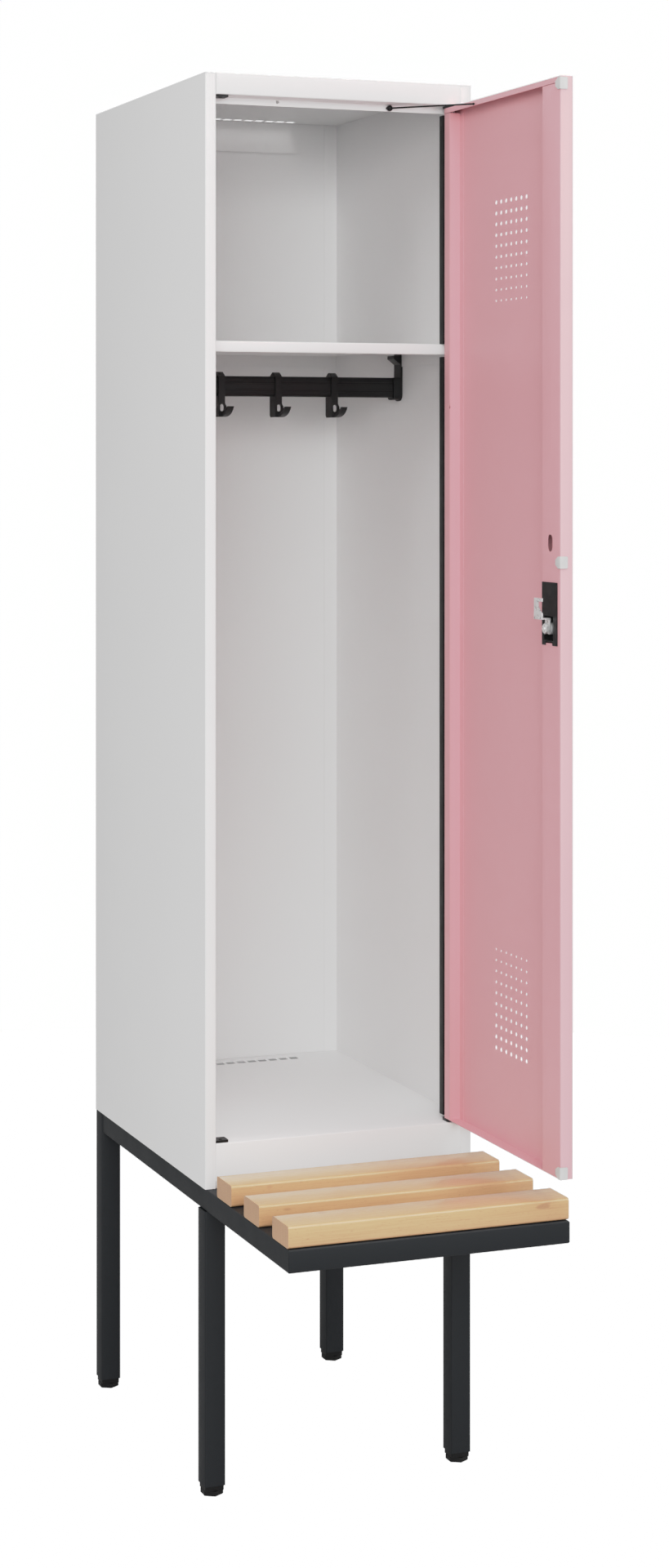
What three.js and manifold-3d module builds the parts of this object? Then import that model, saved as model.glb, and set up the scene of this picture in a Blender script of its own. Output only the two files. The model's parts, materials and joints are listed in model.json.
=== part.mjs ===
// Steel clothes locker on a tube frame, with a slatted bench in front of it.
// Millimetres, +Z up. The door is modelled shut and shown swung open.

import * as THREE from 'three';
import { mergeVertices } from 'three/addons/utils/BufferGeometryUtils.js';
import Module from 'manifold-3d';

const wasm = await Module();
wasm.setup();

// Overall sizes
const bodyWidth = 400;
const bodyDepth = 500;
const bodyHeight = 1530;
const underHeight = 422;
const benchReach = 308.8;
const doorOpenDegrees = 90;

// Sheet, gaps and the smoothness of round stretches
const sheet = 1;
const sheetBend = 0.5;
const seam = 0.1;
const fit = 0.3;
const overrun = 5;
const cornerSteps = 3;
const bendSteps = 3;
const holeSides = 10;
const slimSides = 8;
const roundSides = 16;

// Front frame of the body
const stileWidth = 16;
const lintelHeight = 29;
const sillHeight = 61.5;
const frameDepth = 31;
const stopFlange = 9;
const rearFlange = 22;
const apronLip = 12;
const skirtFoot = 2;

// Rear flange of the roof and the vent rows
const roofFlangeWidth = 272;
const roofFlangeDrop = 48;
const ventCount = 14;
const ventPitch = 17.5;
const ventWidth = 13.5;
const ventLength = 14.5;
const roofVentSetback = 11.5;
const floorVentSetback = 24;

// Hat shelf
const shelfTop = 1164;
const shelfSetback = 33;
const shelfEdge = 15;
const shelfLip = 10;
const shelfRearDrop = 17.5;
const shelfSideDrop = 25.3;

// Hinge blocks, hinge pins and the hinge-side strips
const blockWidth = 19;
const blockFront = 2;
const blockDepth = 18.5;
const blockRound = 1.5;
const sillBlockHeight = 3.8;
const headBlockHeight = 3.4;
const pinRadius = 2.5;
const pinReach = 10;
const stripWidth = 14;
const stripDepth = 12;
const stripProud = 2;
const stripHeadGap = 11;
const stripShelfGap = 3;

// Door
const doorSheet = 0.9;
const doorThickness = 18;
const doorBend = 1.1;
const doorSideGap = 2.9;
const doorHeadGap = 3.8;
const doorFootGap = 0.7;
const doorRecess = 0.5;
const hingeInset = 5.6;
const hingeSet = 6.9;
const hingeFlange = 19.1;
const lockFlange = 52.2;
const channelFoot = 11;
const headLip = 7.3;
const lipGap = 0.7;

// Perforated fields of the door
const fieldColumns = 7;
const fieldRows = 10;
const fieldPitchAcross = 15.6;
const fieldPitchDown = 15.05;
const largeHole = 6.2;
const smallHole = 3.6;
const fieldFromTop = 144;
const fieldFromFoot = 125;

// Slot and notches in the door's inner flanges
const slotWidth = 14;
const slotHeight = 22.6;
const slotSetback = 30;
const slotRise = 824.5;
const notchDepth = 3;
const notchRise = 1007;
const notchSides = 4;

// Door bumpers
const bumperWidth = 16;
const bumperHeight = 16;
const bumperEdgeReach = 10;
const bumperSkin = 1;
const bumperPad = 1;
const bumperCornerWidth = 9.5;
const bumperCornerHeight = 4.7;
const bumperNib = 1.2;
const bumperHeadGap = 1.2;
const middleBumperRise = 792;

// Lock: its case, barrel, spindle, cam and nut
const lockSetback = 31.6;
const lockRise = 713;
const caseWidth = 43.4;
const caseHeight = 82.5;
const caseEdge = 8;
const caseBelow = 22;
const caseFlange = 1;
const caseRim = 3;
const pocketWidth = 26;
const mouthWidth = 20;
const mouthWall = 2;
const pocketDepth = 8;
const pocketBelow = 15.5;
const pocketAbove = 16;
const barrelRadius = 8;
const barrelCapRadius = 12;
const barrelCapHeight = 2.5;
const spindleRadius = 4;
const threadRadius = 3;
const threadProud = 1.5;
const keySlotWidth = 1.6;
const keySlotLength = 6;
const keySlotDepth = 4;
const camThickness = 2;
const camArmWidth = 13;
const camArmReach = 14;
const camOffset = 12.3;
const clawWidth = 22.5;
const clawHeight = 28;
const clawSide = 13.5;
const clawNotchHeight = 13;
const clawHeadHeight = 4.5;
const clawTooth = 3;
const clawLip = 4;
const clawSlope = 2;
const nutRadius = 7.15;
const nutHeight = 4.2;

// Door stay: a rod that slides through a ball in the lintel's stop flange
const ballRadius = 4.3;
const ballX = 287;
const ballSetback = 3;
const ballDrop = 4.6;
const stayRadius = 1.2;
const stayTipRadius = 1.8;
const stayTipAcross = 96;
const stayTipDrop = 5.3;
const stayTail = 7;
const stayHeadRadius = 2.5;
const stayHeadLength = 2;
const plainHoleX = 118;
const plainHoleRadius = 2.6;
const plainHoleDrop = 3.2;
const ballPlayShare = 1 / 3;

// Coat rail, its brackets and the sliding hooks
const railSetback = 250;
const coatRailZ = 1107.2;
const coatRailDepth = 18;
const coatRailHeight = 29.8;
const coatRailWall = 2.2;
const coatRailRound = 4;
const grooveWidth = 3;
const grooveDepth = 1.3;
const grooveSpread = 11.8;
const bracketPlate = 3;
const bracketReach = 14;
const bracketSkin = 3;
const bracketBelow = 1.8;
const bracketRound = 10;
const noseDrop = 7.8;
const noseEdge = 4.6;
const noseHeight = 13;
const hookCount = 3;
const hookPitch = 89.3;
const hookWidth = 10;
const hookSkin = 3;
const hookCrown = 5.8;
const hookShoulder = 10;
const hookDrop = 30;
const hookPlateWidth = 12.6;
const hookPlateThickness = 5;
const hookWeb = 2.5;
const hookArmWidth = 9;
const hookArmReach = 31;
const hookArmRise = 15;
const hookArmThickness = 5;
const armBendShare = 0.7;
const armHollowShare = 0.55;
const armSteps = 6;
const eyeWidth = 7.5;
const eyeHeight = 11;
const eyeBoss = 7;

// Bench frame, legs and feet
const tube = 30;
const tubeWall = 2;
const tubeRound = 2.5;
const railInset = 1.75;
const legBottomRise = 14;
const collarInset = 1.5;
const collarHeight = 6.5;
const collarPlug = 18;
const footRadius = 16;
const hexagonSides = 6;
const footChamfer = 0.8;
const stemRadius = 4;
const stemReach = 26;

// Bench slats
const slatCount = 3;
const slatWidth = 56.7;
const slatThickness = 28.6;
const slatGap = 0.8;
const slatRound = 3.5;
const slatFrontInset = 1.8;
const slatPitch = 104.4;
const slatEndInset = 0.5;

// Places worked out from the sizes above
const lintelBottom = bodyHeight - lintelHeight;
const openingWidth = bodyWidth - 2 * stileWidth;
const doorWidth = openingWidth - 2 * doorSideGap;
const pivotX = bodyWidth - stileWidth - doorSideGap - hingeInset;
const pivotY = doorRecess + hingeSet;
const doorBottom = sillHeight + sillBlockHeight + doorFootGap;
const doorTop = lintelBottom - doorHeadGap;
const hingeEdge = hingeInset;
const freeEdge = hingeInset - doorWidth;
const doorFront = -hingeSet;
const doorBack = doorThickness - hingeSet;
const legTop = -tube - 2 * fit;
const legBottom = legBottomRise - underHeight;
const frontReach = doorWidth - hingeInset + bumperSkin + fit - pivotY;
const rearReach = bodyDepth + Math.max(0, footRadius - tube / 2);
const midDepth = (rearReach - frontReach) / 2;

// Finishes
function finish(color, roughness, metalness = 0) {
  return new THREE.MeshStandardMaterial({ color, roughness, metalness, flatShading: true });
}
const bodyPaint = finish(0xdcdcdb, 0.55);
const doorPaint = finish(0xcb9ca2, 0.5);
const framePaint = finish(0x33373a, 0.6);
const blackPlastic = finish(0x1c1c1d, 0.5);
const greyPlastic = finish(0xd3d1d0, 0.5);
const beech = finish(0xd9b88f, 0.55);
const zinc = finish(0xc9cacb, 0.3, 1);

// Solids from three.js geometry, and back
function solidOf(geometry) {
  geometry.deleteAttribute('normal');
  geometry.deleteAttribute('uv');
  const merged = mergeVertices(geometry);
  const vertProperties = new Float32Array(merged.attributes.position.array);
  const triVerts = new Uint32Array(merged.index.array);
  return new wasm.Manifold(new wasm.Mesh({ numProp: 3, vertProperties, triVerts }));
}

function geometryOf(solid) {
  const { vertProperties, triVerts } = solid.getMesh();
  const geometry = new THREE.BufferGeometry();
  geometry.setAttribute('position', new THREE.BufferAttribute(vertProperties, 3));
  geometry.setIndex(new THREE.BufferAttribute(triVerts, 1));
  return geometry;
}

function joined(...solids) {
  return solids.reduce((whole, piece) => whole.add(piece));
}

function cut(solid, ...tools) {
  return tools.reduce((rest, tool) => rest.subtract(tool), solid);
}

// Outlines as lists of points
function circle(a, b, radius, sides = roundSides, turn = 0) {
  return Array.from({ length: sides }, (_, i) => {
    const angle = turn + (2 * Math.PI * i) / sides;
    return [a + radius * Math.cos(angle), b + radius * Math.sin(angle)];
  });
}

function hexagon(a, b, radius) {
  return circle(a, b, radius, hexagonSides, Math.PI / hexagonSides);
}

function rectangle(a0, b0, a1, b1) {
  return [[a0, b0], [a1, b0], [a1, b1], [a0, b1]];
}

function roundedRectangle(a0, b0, a1, b1, radius) {
  const corners = [[a1 - radius, b0 + radius, -1], [a1 - radius, b1 - radius, 0],
    [a0 + radius, b1 - radius, 1], [a0 + radius, b0 + radius, 2]];
  return corners.flatMap(([a, b, quarter]) =>
    Array.from({ length: cornerSteps + 1 }, (_, i) => {
      const angle = (quarter + i / cornerSteps) * (Math.PI / 2);
      return [a + radius * Math.cos(angle), b + radius * Math.sin(angle)];
    }));
}

// A folded sheet's section: path is its shown face, and the sheet lies to the right of it.
// A third value at a fold is that fold's own inner radius
function foldedSheet(path, thickness, sheetRadius = 0) {
  const points = path.map(([a, b]) => new THREE.Vector2(a, b));
  const way = (i) => points[i + 1].clone().sub(points[i]).normalize();
  const rightOf = (d) => new THREE.Vector2(d.y, -d.x);
  const last = points.length - 1;
  const face = [points[0].clone()];
  const back = [points[0].clone().addScaledVector(rightOf(way(0)), thickness)];
  for (let i = 1; i < last; i += 1) {
    const before = rightOf(way(i - 1));
    const after = rightOf(way(i));
    const mitre = before.clone().add(after).divideScalar(1 + before.dot(after));
    const turn = Math.atan2(before.cross(after), before.dot(after));
    const side = turn > 0 ? 1 : -1;
    const bend = path[i][2] ?? sheetRadius;
    const faceRadius = side > 0 ? bend : bend + thickness;
    const backRadius = side > 0 ? bend + thickness : bend;
    if (bend === 0) {
      face.push(points[i].clone());
      back.push(points[i].clone().addScaledVector(mitre, thickness));
      continue;
    }
    const centre = points[i].clone().addScaledVector(mitre, -side * faceRadius);
    for (let k = 0; k <= bendSteps; k += 1) {
      const spoke = before.clone().rotateAround(new THREE.Vector2(), (turn * k) / bendSteps);
      face.push(centre.clone().addScaledVector(spoke, side * faceRadius));
      back.push(centre.clone().addScaledVector(spoke, side * backRadius));
    }
  }
  face.push(points[last].clone());
  back.push(points[last].clone().addScaledVector(rightOf(way(last - 1)), thickness));
  return [...face, ...back.reverse()].map((p) => [p.x, p.y]);
}

// A triangle that takes off the corner at (a, b): da and db are the cut's reach along each side
function cornerOff(a, b, da, db) {
  return [[a - 2 * da, b + db], [a + da, b - 2 * db], [a + da, b + db]];
}

// Extrusions: the outline lies in (y, z), (x, z) or (x, y), and runs from one place to another
function prism(outline, length, holes) {
  const path = (points) => points.map(([a, b]) => new THREE.Vector2(a, b));
  const shape = new THREE.Shape(path(outline));
  shape.holes = holes.map((hole) => new THREE.Path(path(hole)));
  return new THREE.ExtrudeGeometry(shape, { depth: length, bevelEnabled: false });
}

function alongX(outline, from, to, holes = []) {
  const turned = new THREE.Matrix4().makeBasis(
    new THREE.Vector3(0, 1, 0), new THREE.Vector3(0, 0, 1), new THREE.Vector3(1, 0, 0));
  return solidOf(prism(outline, to - from, holes).applyMatrix4(turned).translate(from, 0, 0));
}

function alongY(outline, from, to, holes = []) {
  return solidOf(prism(outline, to - from, holes).rotateX(Math.PI / 2).translate(0, to, 0));
}

function alongZ(outline, from, to, holes = []) {
  return solidOf(prism(outline, to - from, holes).translate(0, 0, from));
}

function block(x0, x1, y0, y1, z0, z1) {
  return alongZ(rectangle(x0, y0, x1, y1), z0, z1);
}

// A turned piece: its profile is (radius, height) from the axis and back to it
function turned(profile, sides = roundSides) {
  const points = profile.map(([radius, height]) => new THREE.Vector2(radius, height));
  return solidOf(new THREE.LatheGeometry(points, sides).rotateX(Math.PI / 2));
}

function mirrored(path) {
  return path.map(([x, ...rest]) => [bodyWidth - x, ...rest]).reverse();
}

// The groups that carry the pieces
const locker = new THREE.Group();
locker.position.set(-bodyWidth / 2, -midDepth, underHeight);
const door = new THREE.Group();
door.position.set(pivotX, pivotY, 0);
door.rotation.z = THREE.MathUtils.degToRad(doorOpenDegrees);
locker.add(door);

function place(name, solid, material, parent = locker) {
  const mesh = new THREE.Mesh(geometryOf(solid), material);
  mesh.name = name;
  parent.add(mesh);
  return mesh;
}

// Side panels: stop flange, stile and side in one folded sheet, with a flange at the rear
const panelRear = bodyDepth - sheet - seam;
const sidePath = [
  [stileWidth + stopFlange, frameDepth],
  [stileWidth, frameDepth],
  [stileWidth, 0],
  [0, 0],
  [0, panelRear, 0],
  [rearFlange, panelRear],
];

function sidePanel(path, flangeFrom, flangeTo) {
  const top = bodyHeight - sheet - seam;
  const flangeFront = frameDepth - sheetBend - seam;
  const flangeBack = frameDepth + sheet + seam;
  return cut(
    alongZ(foldedSheet(path, sheet, sheetBend), 0, top),
    block(flangeFrom, flangeTo, flangeFront, flangeBack, -overrun, sillHeight + seam),
    block(flangeFrom, flangeTo, flangeFront, flangeBack,
      lintelBottom - stopFlange - seam, bodyHeight + overrun),
  );
}

const flangeStart = stileWidth;
const flangeEnd = stileWidth + stopFlange + overrun;
place('left_side_panel', sidePanel(sidePath, flangeStart, flangeEnd), bodyPaint);
place('right_side_panel',
  sidePanel(mirrored(sidePath), bodyWidth - flangeEnd, bodyWidth - flangeStart), bodyPaint);
place('rear_panel',
  block(0, bodyWidth, bodyDepth - sheet, bodyDepth, 0, bodyHeight - sheet - seam), bodyPaint);

// A row of square vent holes across the middle of a sheet
function ventRow(rearSide, zLow, zHigh) {
  return Array.from({ length: ventCount }, (_, i) => {
    const centre = bodyWidth / 2 + (i - (ventCount - 1) / 2) * ventPitch;
    return block(centre - ventWidth / 2, centre + ventWidth / 2,
      rearSide - ventLength, rearSide, zLow - overrun, zHigh + overrun);
  });
}

// Roof: flat top, lintel with its return and stop flange, and a flange down the rear panel
const lintelPath = [
  [frameDepth, lintelBottom - stopFlange],
  [frameDepth, lintelBottom],
  [0, lintelBottom],
  [0, bodyHeight, 0],
  [frameDepth, bodyHeight],
];
const lintelFrom = stileWidth + seam;
const lintelTo = bodyWidth - stileWidth - seam;
const innerRear = panelRear - sheet - seam;
const roofFlangeFrom = (bodyWidth - roofFlangeWidth) / 2;
const ballY = frameDepth - ballSetback;
const ballZ = lintelBottom - ballDrop;
const ballHole = Math.sqrt(ballRadius ** 2 - ballSetback ** 2) + fit;
const ballHoleShift = ballHole * ballPlayShare;

function roof() {
  const top = block(0, bodyWidth, 0, bodyDepth, bodyHeight - sheet, bodyHeight);
  const lintel = alongX(foldedSheet(lintelPath, sheet, sheetBend), lintelFrom, lintelTo);
  const flange = block(roofFlangeFrom, roofFlangeFrom + roofFlangeWidth,
    panelRear - sheet, panelRear, bodyHeight - roofFlangeDrop, bodyHeight);
  const through = [frameDepth - overrun, frameDepth + overrun];
  const ballSlot = [0, -ballHoleShift].map((shift) =>
    alongY(circle(ballX + shift, ballZ, ballHole), ...through));
  const plainHole = alongY(circle(plainHoleX, lintelBottom - plainHoleDrop, plainHoleRadius),
    ...through);
  return cut(joined(top, lintel, flange), ...ballSlot, plainHole,
    ...ventRow(bodyDepth - roofVentSetback, bodyHeight, bodyHeight));
}
place('roof_with_lintel', roof(), bodyPaint);

// Base tray: plinth apron, floor with vents, and skirts that stand on the bench rails
const apronPath = [
  [apronLip, 0],
  [0, 0],
  [0, sillHeight],
  [frameDepth + stopFlange, sillHeight],
];

function baseTray() {
  const floorZ = sillHeight - sheet;
  const inside = sheet + seam;
  const apron = alongX(foldedSheet(apronPath, sheet, sheetBend), lintelFrom, lintelTo);
  const floorFront = frameDepth + sheet + seam;
  const floor = block(inside, bodyWidth - inside, floorFront, innerRear, floorZ, sillHeight);
  const skirts = [
    block(inside, inside + sheet, floorFront, innerRear, skirtFoot, sillHeight),
    block(bodyWidth - inside - sheet, bodyWidth - inside, floorFront, innerRear,
      skirtFoot, sillHeight),
    block(inside, bodyWidth - inside, innerRear - sheet, innerRear, skirtFoot, sillHeight),
  ];
  return cut(joined(apron, floor, ...skirts),
    ...ventRow(bodyDepth - floorVentSetback, floorZ, floorZ));
}
place('base_tray', baseTray(), bodyPaint);

// Hat shelf: a tray with a turned-down front edge, rear flange and side flanges
const shelfFrom = sheet + fit;
const shelfRear = innerRear - fit;
const shelfPath = [
  [shelfSetback + shelfLip, shelfTop - shelfEdge],
  [shelfSetback, shelfTop - shelfEdge],
  [shelfSetback, shelfTop],
  [shelfRear, shelfTop],
  [shelfRear, shelfTop - shelfRearDrop],
];

function hatShelf() {
  const tray = alongX(foldedSheet(shelfPath, sheet, sheetBend), shelfFrom, bodyWidth - shelfFrom);
  const flanges = [shelfFrom, bodyWidth - shelfFrom - sheet].map((x) =>
    block(x, x + sheet, shelfSetback + shelfLip + seam, shelfRear - sheet - seam,
      shelfTop - shelfSideDrop, shelfTop - sheet / 2));
  return joined(tray, ...flanges);
}
place('hat_shelf', hatShelf(), bodyPaint);

// Hinge blocks in the four corners of the opening, each with a bore for a hinge pin
function hingeBlock(pinX, from, to, zLow, zHigh) {
  const bore = circle(pinX, pivotY, pinRadius + fit);
  const outline = roundedRectangle(from, blockFront, to, blockFront + blockDepth, blockRound);
  return alongZ(outline, zLow, zHigh, [bore]);
}

const blockFrom = stileWidth + fit;
const blockTo = stileWidth + blockWidth;
const blockSides = [
  ['left', bodyWidth - pivotX, blockFrom, blockTo],
  ['right', pivotX, bodyWidth - blockTo, bodyWidth - blockFrom],
];
const sillBlockZ = [sillHeight + fit, sillHeight + sillBlockHeight];
const headBlockZ = [lintelBottom - headBlockHeight, lintelBottom - fit];
for (const [side, pinX, from, to] of blockSides) {
  place(`${side}_sill_hinge_block`, hingeBlock(pinX, from, to, ...sillBlockZ), blackPlastic);
  place(`${side}_head_hinge_block`, hingeBlock(pinX, from, to, ...headBlockZ), blackPlastic);
}

// Hinge pins, which stand in the right-hand blocks and reach into the door
function hingePin(zLow, zHigh) {
  return alongZ(circle(pivotX, pivotY, pinRadius), zLow, zHigh);
}
place('lower_hinge_pin', hingePin(sillHeight + fit, doorBottom + pinReach), zinc);
place('upper_hinge_pin', hingePin(doorTop - pinReach, lintelBottom - fit), zinc);

// Strips clipped on the hinge-side stop flange, above and below the shelf
const stripRight = bodyWidth - stileWidth - fit;
const stripLeft = bodyWidth - stileWidth - stripWidth;
const stripFront = frameDepth - stripProud;
const flangeLeft = bodyWidth - stileWidth - stopFlange;
const stripOutline = [
  [stripLeft, stripFront],
  [stripRight, stripFront],
  [stripRight, frameDepth - fit],
  [flangeLeft - fit, frameDepth - fit],
  [flangeLeft - fit, frameDepth + sheet + fit],
  [stripRight, frameDepth + sheet + fit],
  [stripRight, stripFront + stripDepth],
  [stripLeft, stripFront + stripDepth],
];
place('upper_hinge_strip', alongZ(stripOutline, shelfTop + fit, lintelBottom - stripHeadGap),
  blackPlastic);
place('lower_hinge_strip',
  alongZ(stripOutline, sillHeight + sillBlockHeight + fit, shelfTop - shelfEdge - stripShelfGap),
  blackPlastic);

// Door skin: front, both edges and the inner flanges, closed at head and foot
const inField = (row) => {
  const share = row / (fieldRows - 1);
  return (largeHole + (smallHole - largeHole) * share) / 2;
};

function perforations(zOfRow, radiusOfRow) {
  const middle = (hingeEdge + freeEdge) / 2;
  const holes = [];
  for (let row = 0; row < fieldRows; row += 1) {
    for (let column = 0; column < fieldColumns; column += 1) {
      const x = middle + (column - (fieldColumns - 1) / 2) * fieldPitchAcross;
      holes.push(circle(x, zOfRow(row), radiusOfRow(row), holeSides, Math.PI / holeSides));
    }
  }
  return holes;
}

const upperField = perforations((row) => doorTop - fieldFromTop - row * fieldPitchDown, inField);
const lowerField = perforations((row) => doorBottom + fieldFromFoot + row * fieldPitchDown, inField);
const lockX = freeEdge + lockSetback;
const lockZ = doorBottom + lockRise;
const caseLeft = freeEdge + caseEdge;
const caseRight = caseLeft + caseWidth;
const caseBottom = lockZ - caseBelow;
const caseTop = caseBottom + caseHeight;

function doorSkin() {
  const skinPath = [
    [hingeEdge - hingeFlange, doorBack],
    [hingeEdge, doorBack],
    [hingeEdge, doorFront],
    [freeEdge, doorFront],
    [freeEdge, doorBack],
    [freeEdge + lockFlange, doorBack],
  ];
  const wrap = alongZ(foldedSheet(skinPath, doorSheet, doorBend), doorBottom, doorTop);
  const panelFrom = freeEdge + lockFlange;
  const panelTo = hingeEdge - hingeFlange;
  const panelCut = block(panelFrom, panelTo, doorFront - overrun, doorBack + overrun,
    doorBottom + doorSheet, doorTop - doorSheet);
  const panel = alongY(rectangle(panelFrom, doorBottom + doorSheet, panelTo, doorTop - doorSheet),
    doorFront, doorFront + doorSheet, [...upperField, ...lowerField]);
  const capFrom = freeEdge + doorSheet;
  const capTo = hingeEdge - doorSheet;
  const capFront = doorFront + doorSheet / 2;
  const foot = block(capFrom, capTo, capFront, doorBack, doorBottom, doorBottom + doorSheet);
  const head = block(capFrom, capTo, capFront, doorBack, doorTop - doorSheet, doorTop);
  const lip = block(capFrom, capTo, doorBack - doorSheet, doorBack, doorTop - headLip, doorTop);
  const flangeCut = (from, to) => block(from, to, doorBack - doorSheet - seam, doorBack + overrun,
    doorTop - headLip - lipGap, doorTop - headLip);
  const pinBore = alongZ(circle(0, 0, pinRadius + fit), doorBottom - overrun, doorTop + overrun);
  const solid = joined(cut(wrap, panelCut), panel, foot, head, lip);
  return cut(solid, pinBore,
    flangeCut(hingeEdge - hingeFlange - overrun, hingeEdge - doorSheet - doorBend),
    flangeCut(freeEdge + doorSheet + doorBend, freeEdge + lockFlange + overrun));
}

function slotOutline(a, b, width, height) {
  return roundedRectangle(a - width / 2, b - height / 2, a + width / 2, b + height / 2, width / 2);
}

function doorWithOpenings() {
  const flangeDepth = [doorBack - doorSheet - overrun / 2, doorBack + overrun];
  const slotX = freeEdge + slotSetback;
  const slot = alongY(slotOutline(slotX, doorBottom + slotRise, slotWidth, slotHeight),
    ...flangeDepth);
  const caseHole = alongY(rectangle(caseLeft + caseRim - fit, caseBottom + caseRim - fit,
    caseRight - caseRim + fit, caseTop - caseRim + fit), ...flangeDepth);
  const barrelHole = alongY(circle(lockX, lockZ, barrelRadius + fit),
    doorFront - overrun, doorFront + overrun);
  const notches = [hingeEdge - hingeFlange, freeEdge + lockFlange].map((x) =>
    alongY(circle(x, doorBottom + notchRise, notchDepth, notchSides), ...flangeDepth));
  return cut(doorSkin(), slot, caseHole, barrelHole, ...notches);
}
place('door_skin', doorWithOpenings(), doorPaint, door);

// Door channels: walls that close the two edge boxes, each with a foot on the skin
const channelBack = doorBack - doorSheet - seam;
const channelFront = doorFront + 2 * doorSheet + seam;
const channelZ = [doorBottom + doorSheet + seam, doorTop - headLip - lipGap];

function hingeChannel() {
  const wallX = hingeEdge - hingeFlange;
  const path = [[wallX - channelFoot, channelFront], [wallX, channelFront], [wallX, channelBack]];
  return alongZ(foldedSheet(path, doorSheet), ...channelZ);
}

function lockChannel() {
  const wallX = freeEdge + lockFlange;
  const path = [[wallX, channelBack], [wallX, channelFront], [wallX + channelFoot, channelFront]];
  return alongZ(foldedSheet(path, doorSheet), ...channelZ);
}
place('hinge_channel', hingeChannel(), doorPaint, door);
place('lock_channel', lockChannel(), doorPaint, door);

// Bumpers that wrap the door's free edge
function bumper(zLow) {
  const inner = doorBack + fit;
  const outer = inner + bumperPad;
  const edge = freeEdge - fit;
  const side = freeEdge + bumperWidth;
  const zHigh = zLow + bumperHeight;
  const outline = [
    [edge - bumperSkin, doorBack - bumperEdgeReach],
    [edge, doorBack - bumperEdgeReach],
    [edge, inner],
    [side, inner],
    [side, outer],
    [edge, outer],
    [edge - bumperSkin, inner],
  ];
  const padCorners = [[zHigh, 1], [zLow, -1]].map(([z, way]) =>
    alongY(cornerOff(side, z, bumperCornerWidth, way * bumperCornerHeight),
      doorFront, outer + overrun));
  const edgeCorners = [[zHigh, 1], [zLow, -1]].map(([z, way]) =>
    alongX(cornerOff(doorBack - bumperEdgeReach, z, -bumperNib, way * bumperNib),
      edge - bumperSkin - overrun, edge + overrun));
  return cut(alongZ(outline, zLow, zHigh), ...padCorners, ...edgeCorners);
}
place('upper_bumper', bumper(doorTop - bumperHeadGap - bumperHeight), greyPlastic, door);
place('middle_bumper', bumper(doorBottom + middleBumperRise), greyPlastic, door);
place('lower_bumper', bumper(doorBottom), greyPlastic, door);

// Lock case: a block set in the lock-side flange, with a pocket round the spindle
const caseFace = doorBack + fit + caseFlange;
const caseFloor = doorFront + doorSheet + fit;
const pocketFloor = caseFace - pocketDepth;

function lockCase() {
  const plate = alongY(rectangle(caseLeft, caseBottom, caseRight, caseTop), doorBack + fit, caseFace);
  const body = alongY(rectangle(caseLeft + caseRim, caseBottom + caseRim,
    caseRight - caseRim, caseTop - caseRim), caseFloor, doorBack + caseFlange);
  const pocket = alongY(rectangle(lockX - pocketWidth / 2, lockZ - pocketBelow,
    lockX + pocketWidth / 2, lockZ + pocketAbove), pocketFloor, caseFace + overrun);
  const mouth = alongY(rectangle(lockX - mouthWidth / 2, caseBottom - overrun,
    lockX + mouthWidth / 2, lockZ - pocketBelow - mouthWall), doorBack + fit - overrun,
  caseFace + overrun);
  const bore = alongY(circle(lockX, lockZ, barrelRadius + fit), doorFront, caseFace + overrun);
  return cut(joined(plate, body), pocket, mouth, bore);
}
place('lock_case', lockCase(), blackPlastic, door);

// Lock barrel, with a cap on the door's front, and the spindle that turns in it
const barrelEnd = caseFace - fit;
const camFrom = caseFace + fit;
const nutFrom = camFrom + camThickness + fit;

function barrel() {
  const capBack = doorFront - fit;
  const cap = alongY(circle(lockX, lockZ, barrelCapRadius, 2 * roundSides),
    capBack - barrelCapHeight, capBack);
  const sleeve = alongY(circle(lockX, lockZ, barrelRadius), capBack - barrelCapHeight, barrelEnd);
  const bore = alongY(circle(lockX, lockZ, spindleRadius + fit),
    capBack - barrelCapHeight - overrun, barrelEnd + overrun);
  return cut(joined(cap, sleeve), bore);
}

function spindle() {
  const front = doorFront - fit - barrelCapHeight;
  const core = alongY(circle(lockX, lockZ, spindleRadius), front, camFrom - fit);
  const thread = alongY(circle(lockX, lockZ, threadRadius), camFrom - 2 * fit,
    nutFrom + nutHeight + threadProud);
  const slot = alongY(rectangle(lockX - keySlotWidth / 2, lockZ - keySlotLength / 2,
    lockX + keySlotWidth / 2, lockZ + keySlotLength / 2), front - overrun, front + keySlotDepth);
  return cut(joined(core, thread), slot);
}
place('lock_barrel', barrel(), zinc, door);
place('lock_spindle', spindle(), zinc, door);

// Cam: an arm up from the spindle, a step away from the door, and a claw-shaped plate
function cam() {
  const armTop = lockZ + camArmReach;
  const near = [camFrom, camFrom + camThickness];
  const far = [camFrom + camOffset, camFrom + camOffset + camThickness];
  const half = camArmWidth / 2;
  const arm = alongY(roundedRectangle(lockX - half, lockZ - half, lockX + half, armTop, half / 2),
    ...near, [circle(lockX, lockZ, threadRadius + fit)]);
  const step = alongX([
    [near[0], armTop - camThickness], [far[1], armTop - camThickness],
    [far[1], armTop], [near[0], armTop]], lockX - half, lockX + half);
  const left = lockX - camArmWidth / 2 - camThickness;
  const right = left + clawWidth;
  const foot = armTop - camThickness;
  const head = foot + clawHeight;
  const notchRight = right - clawSide + clawTooth;
  const notchTop = head - clawHeadHeight;
  const notchFoot = notchTop - clawNotchHeight;
  const claw = alongY([
    [left, foot], [right, foot], [right, head], [left, head],
    [left, notchTop], [notchRight, notchTop], [notchRight, notchFoot + clawNotchHeight / 2],
    [left + clawLip, notchFoot], [left, notchFoot - clawSlope]], ...far);
  return joined(arm, step, claw);
}

function camNut() {
  return alongY(hexagon(lockX, lockZ, nutRadius), nutFrom, nutFrom + nutHeight,
    [circle(lockX, lockZ, threadRadius + fit)]);
}
place('lock_cam', cam(), zinc, door);
place('lock_cam_nut', camNut(), zinc, door);

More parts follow.
